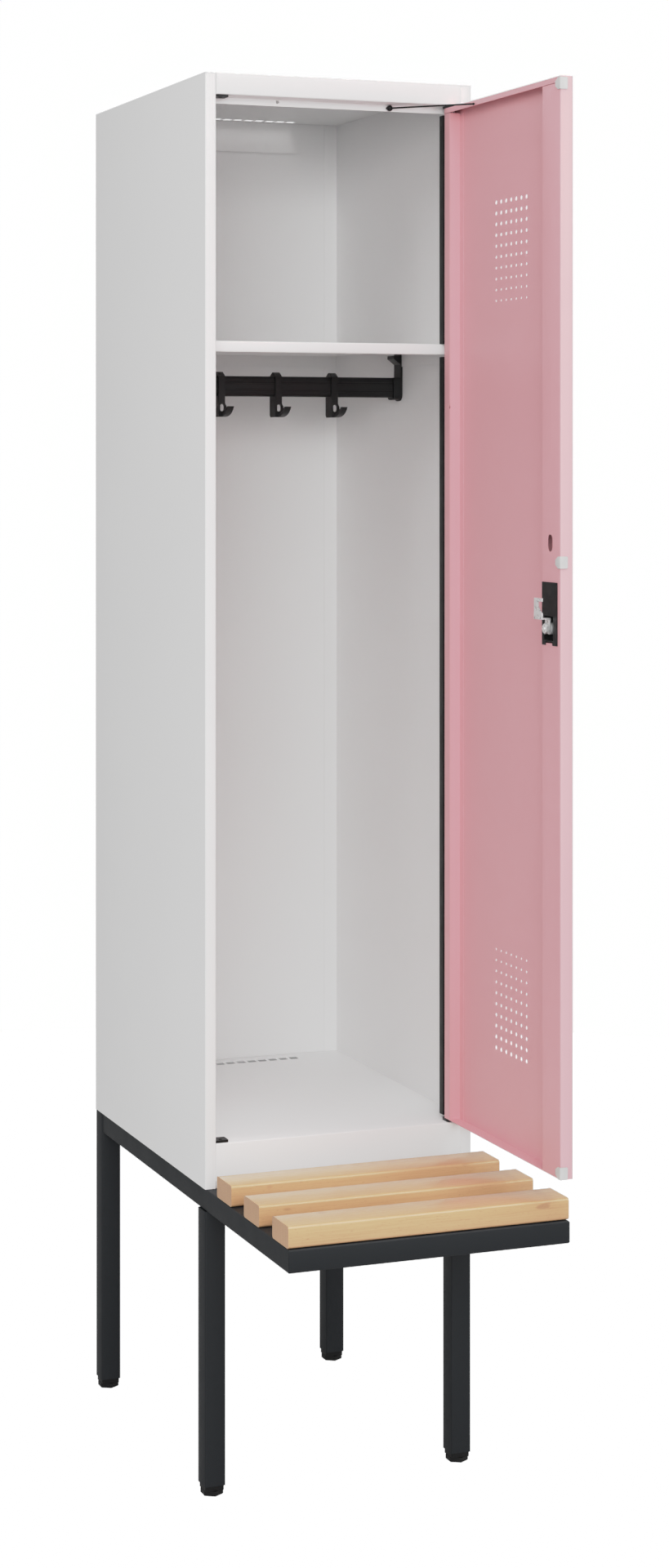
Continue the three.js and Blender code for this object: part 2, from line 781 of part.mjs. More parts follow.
// Door stay: a bored ball behind the lintel, and a rod from it to the door's head lip
const doorTurn = THREE.MathUtils.degToRad(doorOpenDegrees);
const tipOnDoor = new THREE.Vector3(-stayTipAcross, doorBack + fit + stayTipRadius, 0);
const stayTip = tipOnDoor.applyAxisAngle(new THREE.Vector3(0, 0, 1), doorTurn)
  .add(new THREE.Vector3(pivotX, pivotY, doorTop - stayTipDrop));
const ballCentre = new THREE.Vector3(ballX, ballY, ballZ);
const stayWay = ballCentre.clone().sub(stayTip);
const stayLength = stayWay.length();
const stay = new THREE.Group();
stay.position.copy(ballCentre);
stay.quaternion.setFromUnitVectors(new THREE.Vector3(0, 0, 1), stayWay.clone().normalize());
locker.add(stay);

function ball() {
  const sphere = solidOf(new THREE.SphereGeometry(ballRadius, roundSides, roundSides / 2)
    .rotateX(Math.PI / 2));
  const reach = ballRadius + overrun;
  return cut(sphere, alongZ(circle(0, 0, stayRadius + fit, slimSides), -reach, reach));
}

function stayRod() {
  const tip = -stayLength;
  const tail = stayTail;
  const round = stayTipRadius;
  const shoulder = Math.sqrt(round ** 2 - stayRadius ** 2);
  return turned([
    [0, tip - round], [round * Math.SQRT1_2, tip - round * Math.SQRT1_2], [round, tip],
    [stayRadius, tip + shoulder], [stayRadius, tail], [stayHeadRadius, tail],
    [stayHeadRadius, tail + stayHeadLength], [0, tail + stayHeadLength]], slimSides);
}
place('stay_ball', ball(), blackPlastic, stay);
place('stay_rod', stayRod(), blackPlastic, stay);

// Coat rail: a hollow oval profile with two grooves along each face
const halfDepth = coatRailDepth / 2;
const halfHeight = coatRailHeight / 2;
const bracketX = sheet + fit + bracketPlate;

function around(margin, radius) {
  return roundedRectangle(railSetback - halfDepth - margin, coatRailZ - halfHeight - margin,
    railSetback + halfDepth + margin, coatRailZ + halfHeight + margin, radius);
}

function coatRail() {
  const from = bracketX + fit;
  const to = bodyWidth - from;
  const profile = alongX(around(0, coatRailRound), from, to,
    [around(-coatRailWall, coatRailRound - coatRailWall)]);
  const grooves = [-1, 1].flatMap((face) => [-1, 1].map((level) => {
    const y = railSetback + face * halfDepth;
    const z = coatRailZ + (level * grooveSpread) / 2;
    return block(from - overrun, to + overrun, y - grooveDepth, y + grooveDepth,
      z - grooveWidth / 2, z + grooveWidth / 2);
  }));
  return cut(profile, ...grooves);
}
place('coat_rail', coatRail(), blackPlastic);

// Rail brackets: a wall plate with a nose at its head and a cradle that holds the rail's end.
// The plate clears the shelf's side flange
function railBracket(mirror) {
  const at = (x) => (mirror ? bodyWidth - x : x);
  const span = (a, b) => (mirror ? [at(b), at(a)] : [a, b]);
  const wall = sheet + fit;
  const reach = wall + bracketReach;
  const top = shelfTop - sheet - fit;
  const front = railSetback - halfDepth - bracketSkin - fit;
  const rear = railSetback + halfDepth + bracketSkin + fit;
  const low = coatRailZ - halfHeight - bracketSkin - fit;
  const plate = alongX(roundedRectangle(front, low - bracketBelow, rear, top + bracketRound,
    bracketRound), ...span(wall, bracketX));
  const above = block(...span(0, reach), front - overrun, rear + overrun,
    top, top + 2 * bracketRound);
  const cradle = alongX(around(bracketSkin + fit, coatRailRound + bracketSkin),
    ...span(wall, reach));
  const openTop = block(...span(0, reach + overrun), front - overrun, rear + overrun,
    coatRailZ + halfHeight, top);
  const noseTop = top - noseDrop;
  const nose = alongY([
    [at(wall), noseTop], [at(wall), noseTop - noseHeight], [at(bracketX), noseTop - noseHeight],
    [at(reach), noseTop - noseEdge], [at(reach), noseTop]], front, rear);
  const bore = alongX(around(fit, coatRailRound), ...span(bracketX, reach + overrun));
  const flangeRoom = block(...span(0, shelfFrom + sheet + fit), front - overrun, rear + overrun,
    shelfTop - shelfSideDrop - fit, top + overrun);
  return cut(joined(cut(plate, above), cut(cradle, openTop), nose), bore, flangeRoom);
}
place('left_rail_bracket', railBracket(false), blackPlastic);
place('right_rail_bracket', railBracket(true), blackPlastic);

// Sliding hooks: a loop round the rail, a plate with an eye in a boss, a web and an upturned arm
function slidingHook(centre) {
  const left = centre - hookWidth / 2;
  const front = railSetback - halfDepth - fit - hookSkin;
  const rear = railSetback + halfDepth + fit + hookSkin;
  const railTop = coatRailZ + halfHeight;
  const crown = railTop + fit + hookCrown;
  const under = coatRailZ - halfHeight - fit;
  const foot = under - hookDrop;
  const loop = alongX([
    [front, under - hookSkin], [rear, under - hookSkin], [rear, railTop],
    [rear - hookShoulder, crown], [front + hookShoulder, crown], [front, railTop]],
  left, left + hookWidth, [around(fit, coatRailRound)]);
  const plateRight = left + hookPlateWidth;
  const eyeX = plateRight - eyeBoss;
  const eyeZ = foot + hookDrop / 2 - hookSkin / 2;
  const plate = alongY([
    [left, foot], [plateRight - hookSkin, foot], [plateRight, foot + hookSkin],
    [plateRight, eyeZ], [left + hookWidth, eyeZ + eyeBoss],
    [left + hookWidth, under], [left, under]], front, front + hookPlateThickness);
  const boss = alongY(circle(eyeX, eyeZ, eyeBoss), front, front + hookPlateThickness);
  const eye = alongY(slotOutline(eyeX, eyeZ, eyeWidth, eyeHeight),
    front - overrun, front + hookPlateThickness + overrun);
  const beside = block(left - eyeBoss, left, front - overrun,
    front + hookPlateThickness + overrun, foot, under);
  const web = alongX([
    [front, foot], [rear - hookSkin, foot], [rear, foot + hookSkin], [rear, under],
    [front, under]], left, left + hookWeb);
  const bend = new THREE.QuadraticBezierCurve(
    new THREE.Vector2(front + hookPlateThickness, foot),
    new THREE.Vector2(front - hookArmReach * armBendShare, foot),
    new THREE.Vector2(front - hookArmReach, foot + hookArmRise)).getPoints(armSteps);
  const inner = new THREE.QuadraticBezierCurve(
    new THREE.Vector2(front - hookArmReach + hookArmThickness, foot + hookArmRise),
    new THREE.Vector2(front - hookArmReach * armHollowShare, foot + hookArmThickness),
    new THREE.Vector2(front + hookPlateThickness, foot + hookArmThickness)).getPoints(armSteps);
  const arm = alongX([...bend, ...inner].map((p) => [p.x, p.y]),
    plateRight - hookArmWidth, plateRight);
  return joined(loop, cut(joined(plate, boss), eye, beside), web, arm);
}

for (let i = 0; i < hookCount; i += 1) {
  const centre = bodyWidth / 2 + (i - (hookCount - 1) / 2) * hookPitch;
  place(`coat_hook_${i + 1}`, slidingHook(centre), blackPlastic);
}

// Bench frame: square tubes, mitred at the two front corners
const tubeOutline = (a, b) => roundedRectangle(a, b, a + tube, b + tube, tubeRound);
const tubeBore = (a, b) => roundedRectangle(a + tubeWall, b + tubeWall,
  a + tube - tubeWall, b + tube - tubeWall, tubeRound - tubeWall / 2);
const railZ = -fit - tube;

// The corner of the front rail that a mitre takes off, as a prism seen from above
function mitre(cornerX, way, outside) {
  const reach = tube + overrun;
  const gap = fit / 2;
  const y = -benchReach;
  const sign = outside ? -1 : 1;
  const start = [cornerX - way * overrun, y - overrun + sign * gap];
  const end = [cornerX + way * reach, y + reach + sign * gap];
  const apex = outside ? [start[0] - way * reach, end[1]] : [end[0], start[1] - reach];
  return alongZ([start, end, apex], railZ - overrun, overrun);
}

function sideRail(x, cornerX, way) {
  const whole = alongY(tubeOutline(x, railZ), -benchReach, bodyDepth - tube - fit,
    [tubeBore(x, railZ)]);
  return cut(whole, mitre(cornerX, way, false));
}

function frontRail() {
  const from = railInset;
  const to = bodyWidth - railInset;
  const whole = alongX(tubeOutline(-benchReach, railZ), from, to, [tubeBore(-benchReach, railZ)]);
  return cut(whole, mitre(from, 1, true), mitre(to, -1, true));
}

function crossRail(y, margin) {
  return alongX(tubeOutline(y, railZ), margin, bodyWidth - margin, [tubeBore(y, railZ)]);
}
const railRight = bodyWidth - railInset;
place('left_side_rail', sideRail(railInset, railInset, 1), framePaint);
place('right_side_rail', sideRail(railRight - tube, railRight, -1), framePaint);
place('front_rail', frontRail(), framePaint);
place('middle_cross_rail', crossRail(0, railInset + tube + fit), framePaint);
place('rear_cross_rail', crossRail(bodyDepth - tube, tube + fit), framePaint);

// Legs with plastic end collars and screwed hexagonal feet
const legPlaces = [
  ['front_left', 0, 0, legTop],
  ['front_right', bodyWidth - tube, 0, legTop],
  ['rear_left', 0, bodyDepth - tube, -fit],
  ['rear_right', bodyWidth - tube, bodyDepth - tube, -fit],
];

function collar(x, y) {
  const top = legBottom - fit;
  const low = top - collarHeight;
  const margin = tubeWall + fit;
  const bore = [circle(x + tube / 2, y + tube / 2, stemRadius + fit)];
  const flange = alongZ(roundedRectangle(x + collarInset, y + collarInset,
    x + tube - collarInset, y + tube - collarInset, tubeRound), low, top, bore);
  const plug = alongZ(roundedRectangle(x + margin, y + margin,
    x + tube - margin, y + tube - margin, tubeRound - tubeWall / 2), low, top + collarPlug, bore);
  return joined(flange, plug);
}

function levellingFoot(x, y) {
  const low = -underHeight;
  const top = legBottom - 2 * fit - collarHeight;
  const centre = [x + tube / 2, y + tube / 2];
  const pad = alongZ(hexagon(...centre, footRadius), low + footChamfer, top);
  const sole = alongZ(hexagon(...centre, footRadius - footChamfer), low, top);
  const stem = alongZ(circle(...centre, stemRadius), low, top + stemReach);
  return joined(pad, sole, stem);
}

for (const [corner, x, y, top] of legPlaces) {
  place(`${corner}_leg`, alongZ(tubeOutline(x, y), legBottom, top, [tubeBore(x, y)]), framePaint);
  place(`${corner}_leg_collar`, collar(x, y), blackPlastic);
  place(`${corner}_foot`, levellingFoot(x, y), blackPlastic);
}

// Bench slats with rounded edges
for (let i = 0; i < slatCount; i += 1) {
  const y = -benchReach + slatFrontInset + i * slatPitch;
  const end = railInset + slatEndInset;
  const foot = slatGap - fit;
  const outline = roundedRectangle(y, foot, y + slatWidth, foot + slatThickness, slatRound);
  place(`bench_slat_${i + 1}`, alongX(outline, end, bodyWidth - end), beech);
}

export default locker;
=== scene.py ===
"""The looks of a steel clothes locker on a tube frame, with a slatted bench in front of it.

Metres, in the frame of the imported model: X to the right, Y to the rear, Z up from the floor.
Sizes in millimetres are multiplied by MM where they are used.
"""

import json
import math

import bmesh
import bpy
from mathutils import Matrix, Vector


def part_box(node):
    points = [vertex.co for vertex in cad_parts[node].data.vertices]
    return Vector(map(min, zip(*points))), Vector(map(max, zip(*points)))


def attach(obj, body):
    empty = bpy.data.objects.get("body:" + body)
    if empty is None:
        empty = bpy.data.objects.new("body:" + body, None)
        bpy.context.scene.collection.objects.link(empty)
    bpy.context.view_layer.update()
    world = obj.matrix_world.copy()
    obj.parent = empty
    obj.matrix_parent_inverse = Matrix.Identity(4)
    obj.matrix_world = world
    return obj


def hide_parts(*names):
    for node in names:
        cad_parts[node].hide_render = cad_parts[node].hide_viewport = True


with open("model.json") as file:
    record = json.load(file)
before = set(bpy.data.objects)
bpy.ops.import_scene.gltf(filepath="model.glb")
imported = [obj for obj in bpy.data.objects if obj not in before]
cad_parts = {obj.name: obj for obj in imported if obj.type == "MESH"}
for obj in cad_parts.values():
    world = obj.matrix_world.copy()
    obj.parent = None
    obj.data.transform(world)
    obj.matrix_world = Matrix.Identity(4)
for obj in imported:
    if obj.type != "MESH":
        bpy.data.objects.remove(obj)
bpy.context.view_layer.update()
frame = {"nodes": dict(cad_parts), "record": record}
nodes = frame["nodes"]
MM = 0.001

# Camera: level, turned to the right, with a shifted frame of 819 x 1920 pixels
CAMERA_PLACE = (-1.467259, -3.632310, 1.423329)
CAMERA_YAW = 20.2349
CAMERA_LENS = 63.332
CAMERA_SENSOR = 36
CAMERA_SHIFT = (0.06328, -0.20773)

# Surroundings: their strength as seen, and as cast from below and above the horizon
SURROUNDINGS_SEEN = 1.3
CAST_FROM_BELOW = 0.10
CAST_FROM_ABOVE = 0.58
HORIZON_SPAN = (-0.4, 0.1)

# Soft lights: place, aim, width and height in metres, and power in watts
LIGHTS = {
    "key": ((-1.7, -4.0, 2.1), (0, 0, 1.6), (2.8, 1.4), 88),
    "side": ((-2.6, -1.2, 3.2), (-0.2, 0.2, 1.8), (1.0, 1.0), 13),
    "fill": ((1.15, -2.3, 2.2), (0.2, -0.4, 1.9), (0.8, 1.0), 15),
    "top": ((0.3, -2.6, 8.2), (0, -0.2, 0.4), (4.2, 4.2), 262),
}

# Floor: what it returns of the light, and how its white and its shading are seen
FLOOR_RADIUS = 3.0
FLOOR_SIDES = 96
FLOOR_ALBEDO = 0.45
FLOOR_ROUGHNESS = 0.9
FLOOR_SPECULAR = 0.1
FLOOR_WHITE = 1.5
FLOOR_SHADING_SHARE = 0.08

# Film: the scene's light and the value shown for it
FILM = ((0, 0), (0.3, 0.3), (0.6, 0.575), (0.85, 0.675), (1.05, 0.755), (1.15, 0.80), (1.3, 1.0))

# Finishes: linear colours, bumps (peel and texture) in millimetres, and drift as a share of tone
PAINTS = {
    "body_paint": {"colour": (0.88, 0.878, 0.876), "roughness": 0.5, "peel": 0.02, "drift": 0.012},
    "door_paint": {"colour": (0.785, 0.405, 0.442), "roughness": 0.42, "peel": 0.02,
                   "drift": 0.015, "specular": 0.6},
    "frame_paint": {"colour": (0.0075, 0.0098, 0.0125), "roughness": 0.55, "peel": 0.03,
                    "drift": 0.03, "specular": 0.42},
}
PLASTICS = {
    "black_plastic": {"colour": (0.0062, 0.0062, 0.0066), "roughness": 0.42, "texture": 0.012,
                      "specular": 0.32},
    "grey_plastic": {"colour": (0.62, 0.61, 0.60), "roughness": 0.5, "texture": 0.01},
}
ZINC_COLOUR = (0.90, 0.90, 0.90)
BEECH_LIGHT = (0.70, 0.425, 0.228)
BEECH_DARK = (0.57, 0.325, 0.155)
BEECH_FLECK = (0.36, 0.20, 0.10)

# Smoothing and eased edges: angles in degrees, sizes in millimetres
SMOOTH_ANGLE = 35
WELD_DISTANCE = 0.002
EDGE_ANGLE = 50
EDGE_SEGMENTS = 2
EDGES = {"black_plastic": 0.35, "zinc": 0.25}
BUMPER_EDGE = 0.45

# Pieces that are made here, in millimetres. A screw's points are its radii and heights.
TURNED_SIDES = 36
NUT_BORE_RADIUS = 3.15
NUT_BORE_CHAMFER = 0.5
NUT_FACE_SHARE = 0.96
NUT_CHAMFER_SLOPE = 0.577
BUMPER_PAD_SHARE = 0.83
SCREW_HEAD = ((4.0, 0), (4.0, 0.7), (3.7, 1.5), (3.0, 2.1))
SCREW_RECESS = ((1.9, 2.35), (1.7, 0.9))
SCREW_RECESS_FLOOR = 0.8
RECESS_LOBES = 6
RECESS_LOBE_SHARE = 0.16
SLATS = (1, 2, 3)


# Nodes of a material
def node(tree, kind, **values):
    """A new node with its attributes and inputs set by name."""
    made = tree.nodes.new(kind)
    for name, value in values.items():
        if hasattr(made, name):
            setattr(made, name, value)
        else:
            made.inputs[name.replace("_", " ")].default_value = value
    return made


def new_material(name, roughness, metallic=0.0):
    """A material with its shader, and the coordinates that ride with the piece."""
    material = bpy.data.materials.new(name)
    material.use_nodes = True
    tree = material.node_tree
    shader = tree.nodes["Principled BSDF"]
    shader.inputs["Roughness"].default_value = roughness
    shader.inputs["Metallic"].default_value = metallic
    place = tree.nodes.new("ShaderNodeTexCoord").outputs["Object"]
    return material, tree, shader, place


def stretched(tree, place, scale, offset=(0, 0, 0)):
    """The coordinates moved by an offset and scaled along each axis, in cycles per metre."""
    mapping = node(tree, "ShaderNodeMapping", Scale=scale, Location=offset)
    tree.links.new(place, mapping.inputs["Vector"])
    return mapping.outputs["Vector"]


def noise(tree, vector, scale=1, detail=2.0, rough=0.5):
    made = node(tree, "ShaderNodeTexNoise", Scale=scale, Detail=detail, Roughness=rough)
    tree.links.new(vector, made.inputs["Vector"])
    return made.outputs["Fac"]


def mapped(tree, value, span, to_span=(0.0, 1.0)):
    """A value of one span carried over to another, and held at its ends."""
    low, high = span
    to_low, to_high = to_span
    made = node(tree, "ShaderNodeMapRange", From_Min=low, From_Max=high,
                To_Min=to_low, To_Max=to_high)
    tree.links.new(value, made.inputs["Value"])
    return made.outputs["Result"]


def blended(tree, factor, first, second):
    """A colour between two, each a colour or a socket."""
    mix = tree.nodes.new("ShaderNodeMix")
    mix.data_type = "RGBA"
    colours = [s for s in mix.inputs if s.type == "RGBA"]
    tree.links.new(factor, mix.inputs["Factor"])
    for socket, colour in zip(colours, (first, second)):
        if isinstance(colour, tuple):
            socket.default_value = (*colour, 1)
        else:
            tree.links.new(colour, socket)
    return next(s for s in mix.outputs if s.type == "RGBA")


def layered(tree, below, value, span, share, colour):
    """A colour laid over another where a value runs through its span, up to a share."""
    return blended(tree, mapped(tree, value, span, (0, share)), below, colour)


def scaled(colour, factor):
    return tuple(min(1.0, c * factor) for c in colour)


def bumped(tree, shader, height, distance):
    """Links a height to the shader's normal. The distance is in millimetres."""
    bump = node(tree, "ShaderNodeBump", Strength=1.0, Distance=distance * MM)
    tree.links.new(height, bump.inputs["Height"])
    tree.links.new(bump.outputs["Normal"], shader.inputs["Normal"])


# Noise lies in this span nearly everywhere
NOISE_SPAN = (0.3, 0.7)

# Powder coat: scales in cycles per metre
COAT_CLOUD = {"scale": 3.1, "detail": 3}
COAT_GLOSS = {"scale": 24, "detail": 3}
COAT_PEEL = {"scale": 620, "detail": 2}
COAT_GLOSS_DRIFT = 0.03


def powder_coat(name, colour, roughness, peel, drift, specular=0.5):
    """Sprayed paint: a fine orange peel, and a faint drift of tone and gloss over the sheet."""
    material, tree, shader, place = new_material(name, roughness)
    shader.inputs["Specular IOR Level"].default_value = specular
    cloud = noise(tree, place, **COAT_CLOUD)
    tone = blended(tree, mapped(tree, cloud, NOISE_SPAN),
                   scaled(colour, 1 - drift), scaled(colour, 1 + drift))
    tree.links.new(tone, shader.inputs["Base Color"])
    gloss = mapped(tree, noise(tree, place, **COAT_GLOSS), NOISE_SPAN,
                   (roughness - COAT_GLOSS_DRIFT, roughness + COAT_GLOSS_DRIFT))
    tree.links.new(gloss, shader.inputs["Roughness"])
    bumped(tree, shader, noise(tree, place, **COAT_PEEL), peel)
    return material


# Moulded plastic: its tones as shares of the colour, and what its gloss loses and gains
MOULDED_CLOUD = {"scale": 40, "detail": 4}
MOULDED_TEXTURE = {"scale": 1500, "detail": 3}
MOULDED_TONE_SHARES = (0.9, 1.12)
MOULDED_GLOSS_DRIFT = (-0.05, 0.06)


def moulded(name, colour, roughness, texture, specular=0.5):
    """Moulded plastic with the fine erosion of its tool."""
    material, tree, shader, place = new_material(name, roughness)
    shader.inputs["Specular IOR Level"].default_value = specular
    cloud = noise(tree, place, **MOULDED_CLOUD)
    tone = blended(tree, mapped(tree, cloud, NOISE_SPAN),
                   *(scaled(colour, share) for share in MOULDED_TONE_SHARES))
    tree.links.new(tone, shader.inputs["Base Color"])
    gloss = mapped(tree, cloud, NOISE_SPAN, [roughness + drift for drift in MOULDED_GLOSS_DRIFT])
    tree.links.new(gloss, shader.inputs["Roughness"])
    bumped(tree, shader, noise(tree, place, **MOULDED_TEXTURE), texture)
    return material


# Zinc plate: its fine scratches lie level
ZINC_ROUGHNESS = 0.28
ZINC_METALLIC = 0.65
ZINC_CLOUD = {"scale": 160, "detail": 4}
ZINC_TONE_SHARES = (0.97, 1.03)
ZINC_GLOSS_SPAN = (0.26, 0.32)
SCRATCH_SCALE = (300, 300, 2600)
SCRATCH_DETAIL = 3
SCRATCH_DEPTH = 0.002


def plated(name, colour):
    """Zinc plate: a cloudy shine with fine scratches."""
    material, tree, shader, place = new_material(name, ZINC_ROUGHNESS, ZINC_METALLIC)
    cloud = noise(tree, place, **ZINC_CLOUD)
    tone = blended(tree, mapped(tree, cloud, NOISE_SPAN),
                   *(scaled(colour, share) for share in ZINC_TONE_SHARES))
    tree.links.new(tone, shader.inputs["Base Color"])
    tree.links.new(mapped(tree, cloud, NOISE_SPAN, ZINC_GLOSS_SPAN), shader.inputs["Roughness"])
    scratches = noise(tree, stretched(tree, place, SCRATCH_SCALE), detail=SCRATCH_DETAIL)
    bumped(tree, shader, scratches, SCRATCH_DEPTH)
    return material


# Beech: the slats lie at other stretches of the noise, a board's step apart, with the pith
# behind each. Each layer's noise has its cycles per metre along the fibres and across them,
# and the layer its span, its share and, for the fibres, their tone and depth.
BEECH_ROUGHNESS = 0.36
BEECH_GLOSS_SPAN = (0.36, 0.48)
LACQUER_WEIGHT = 0.8
LACQUER_ROUGHNESS = 0.22
BOARD_STEP = 3.7
PITH_DISTANCE = 0.13
RINGS = {"Scale": 52, "Distortion": 2.2, "Detail": 3, "Detail_Scale": 1.1}
RINGS_SCALE = (0.05, 1, 1)
RINGS_SPAN = (0, 1)
RINGS_SHARE = 0.55
WANDER = {"detail": 4}
WANDER_SCALE = (2.4, 16, 16)
WANDER_SPAN = (0.38, 0.66)
WANDER_SHARE = 0.6
FIBRES = {"detail": 4, "rough": 0.6}
FIBRES_SCALE = (14, 900, 900)
FIBRES_SPAN = (0.45, 0.75)
FIBRES_SHARE = 0.5
FIBRES_TONE_SHARE = 0.85
FIBRES_DEPTH = 0.03
FLECKS = {"detail": 2}
FLECKS_SCALE = (150, 1500, 1500)
FLECKS_SPAN = (0.66, 0.74)
FLECKS_SHARE = 0.7
KNOTS = {"detail": 1, "rough": 0.4}
KNOTS_SCALE = (26, 75, 75)
KNOTS_SPAN = (0.71, 0.79)
KNOTS_SHARE = 0.55


def beech(name, pith, board):
    """Steamed beech under clear lacquer: rings round the pith, fibres along X, flecks and knots."""
    material, tree, shader, place = new_material(name, BEECH_ROUGHNESS)
    shader.inputs["Coat Weight"].default_value = LACQUER_WEIGHT
    shader.inputs["Coat Roughness"].default_value = LACQUER_ROUGHNESS
    shifted = stretched(tree, place, (1, 1, 1), (board * BOARD_STEP, -pith[0], -pith[1]))
    rings = node(tree, "ShaderNodeTexWave", wave_type="RINGS", rings_direction="X",
                 wave_profile="SAW", **RINGS)
    tree.links.new(stretched(tree, shifted, RINGS_SCALE), rings.inputs["Vector"])
    wander = noise(tree, stretched(tree, shifted, WANDER_SCALE), **WANDER)
    fibres = noise(tree, stretched(tree, shifted, FIBRES_SCALE), **FIBRES)
    flecks = noise(tree, stretched(tree, shifted, FLECKS_SCALE), **FLECKS)
    knots = noise(tree, stretched(tree, shifted, KNOTS_SCALE), **KNOTS)
    fibre_tone = scaled(BEECH_DARK, FIBRES_TONE_SHARE)
    tone = layered(tree, BEECH_LIGHT, rings.outputs["Fac"], RINGS_SPAN, RINGS_SHARE, BEECH_DARK)
    tone = layered(tree, tone, wander, WANDER_SPAN, WANDER_SHARE, BEECH_DARK)
    tone = layered(tree, tone, fibres, FIBRES_SPAN, FIBRES_SHARE, fibre_tone)
    tone = layered(tree, tone, flecks, FLECKS_SPAN, FLECKS_SHARE, BEECH_FLECK)
    tone = layered(tree, tone, knots, KNOTS_SPAN, KNOTS_SHARE, BEECH_FLECK)
    tree.links.new(tone, shader.inputs["Base Color"])
    tree.links.new(mapped(tree, fibres, NOISE_SPAN, BEECH_GLOSS_SPAN), shader.inputs["Roughness"])
    bumped(tree, shader, fibres, FIBRES_DEPTH)
    return material


def slat_finish(number):
    """Beech for one slat, with the pith behind it at the height of its middle."""
    low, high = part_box(f"bench_slat_{number}")
    pith = ((low.y + high.y) / 2 + PITH_DISTANCE, (low.z + high.z) / 2)
    return beech(f"beech_{number}", pith, number)


# Smoothing and finish of a piece
def smoothing_group():
    """A modifier's node group that welds a faceted mesh and smooths it up to an angle."""
    group = bpy.data.node_groups.new("smooth_by_angle", "GeometryNodeTree")
    group.interface.new_socket("Geometry", in_out="INPUT", socket_type="NodeSocketGeometry")
    group.interface.new_socket("Geometry", in_out="OUTPUT", socket_type="NodeSocketGeometry")
    start = group.nodes.new("NodeGroupInput")
    end = group.nodes.new("NodeGroupOutput")
    weld = node(group, "GeometryNodeMergeByDistance", Distance=WELD_DISTANCE * MM)
    smooth = group.nodes.new("GeometryNodeSetShadeSmooth")
    sharp = group.nodes.new("GeometryNodeSetShadeSmooth")
    sharp.domain = "EDGE"
    sharp.inputs["Shade Smooth"].default_value = False
    angle = group.nodes.new("GeometryNodeInputMeshEdgeAngle")
    wide = node(group, "FunctionNodeCompare", data_type="FLOAT", operation="GREATER_THAN")
    wide.inputs[1].default_value = math.radians(SMOOTH_ANGLE)
    group.links.new(start.outputs[0], weld.inputs["Geometry"])
    group.links.new(weld.outputs["Geometry"], smooth.inputs["Geometry"])
    group.links.new(smooth.outputs["Geometry"], sharp.inputs["Geometry"])
    group.links.new(angle.outputs["Unsigned Angle"], wide.inputs[0])
    group.links.new(wide.outputs["Result"], sharp.inputs["Selection"])
    group.links.new(sharp.outputs["Geometry"], end.inputs[0])
    return group


def dress(piece, material, edge=0.0):
    """Gives a piece its finish, smooth round stretches and, with an edge's size, eased edges."""
    piece.data.materials.clear()
    piece.data.materials.append(material)
    piece.modifiers.new("smooth", "NODES").node_group = smoothing
    if edge:
        bevel = piece.modifiers.new("edges", "BEVEL")
        bevel.width = edge * MM
        bevel.segments = EDGE_SEGMENTS
        bevel.limit_method = "ANGLE"
        bevel.angle_limit = math.radians(EDGE_ANGLE)
        bevel.harden_normals = True


# Pieces that are made here
def new_piece(name, mesh, body, slot, edge=0.0):
    """A new object with the finish of its slot, and its body."""
    made = bpy.data.objects.new(name, mesh)
    bpy.context.scene.collection.objects.link(made)
    dress(made, finishes[slot], edge)
    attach(made, body)
    return made


def turned(rings, place, axis):
    """A mesh from rings round an axis, each a function of the angle, or a height for a pole."""
    shape = bmesh.new()
    way = Vector(axis).to_track_quat("Z", "Y")

    def vertex(radius, height, angle):
        local = Vector((radius * math.cos(angle), radius * math.sin(angle), height)) * MM
        return shape.verts.new(Vector(place) + way @ local)

    angles = [2 * math.pi * i / TURNED_SIDES for i in range(TURNED_SIDES)]
    loops = []
    for ring in rings:
        if callable(ring):
            loops.append([vertex(*ring(angle), angle) for angle in angles])
        else:
            loops.append([vertex(0, ring, 0)])
    pairs = list(zip(loops, loops[1:]))
    if len(loops[0]) > 1:
        pairs.append((loops[-1], loops[0]))
    for first, second in pairs:
        for i in range(TURNED_SIDES):
            j = (i + 1) % TURNED_SIDES
            corners = [first[i % len(first)], first[j % len(first)],
                       second[j % len(second)], second[i % len(second)]]
            shape.faces.new(list(dict.fromkeys(corners)))
    bmesh.ops.recalc_face_normals(shape, faces=shape.faces)
    mesh = bpy.data.meshes.new("turned")
    shape.to_mesh(mesh)
    shape.free()
    return mesh


def round_ring(radius, height):
    return lambda angle: (radius, height)


def star_ring(radius, height):
    """A ring with lobes, as in the recess of a screw's head."""
    return lambda angle: (radius * (1 + RECESS_LOBE_SHARE * math.cos(RECESS_LOBES * angle)), height)


def hexagon_radius(apothem, angle):
    """How far a hexagon's side is from its middle at an angle."""
    sixth = math.pi / 3
    return apothem / math.cos((angle + sixth / 2) % sixth - sixth / 2)


def nut_ring(apothem, face, way):
    """Where a nut's flats meet the chamfer of one face. The way is from that face inwards."""
    def ring(angle):
        radius = hexagon_radius(apothem, angle)
        return radius, face + way * (radius - NUT_FACE_SHARE * apothem) * NUT_CHAMFER_SLOPE
    return ring


def cam_nut():
    """The cam's nut, with both faces chamfered, and its bore chamfered on the side that shows."""
    low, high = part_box("lock_cam_nut")
    height = (high.x - low.x) / MM
    apothem = (high.y - low.y) / MM / 2
    face_radius = NUT_FACE_SHARE * apothem
    place = (high.x, (low.y + high.y) / 2, (low.z + high.z) / 2)
    rings = [round_ring(NUT_BORE_RADIUS, 0), round_ring(face_radius, 0),
             nut_ring(apothem, 0, 1), nut_ring(apothem, height, -1),
             round_ring(face_radius, height), round_ring(NUT_BORE_RADIUS + NUT_BORE_CHAMFER, height),
             round_ring(NUT_BORE_RADIUS, height - NUT_BORE_CHAMFER)]
    made = new_piece("cam_nut", turned(rings, place, (-1, 0, 0)), "cam", "zinc")
    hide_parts("lock_cam_nut")


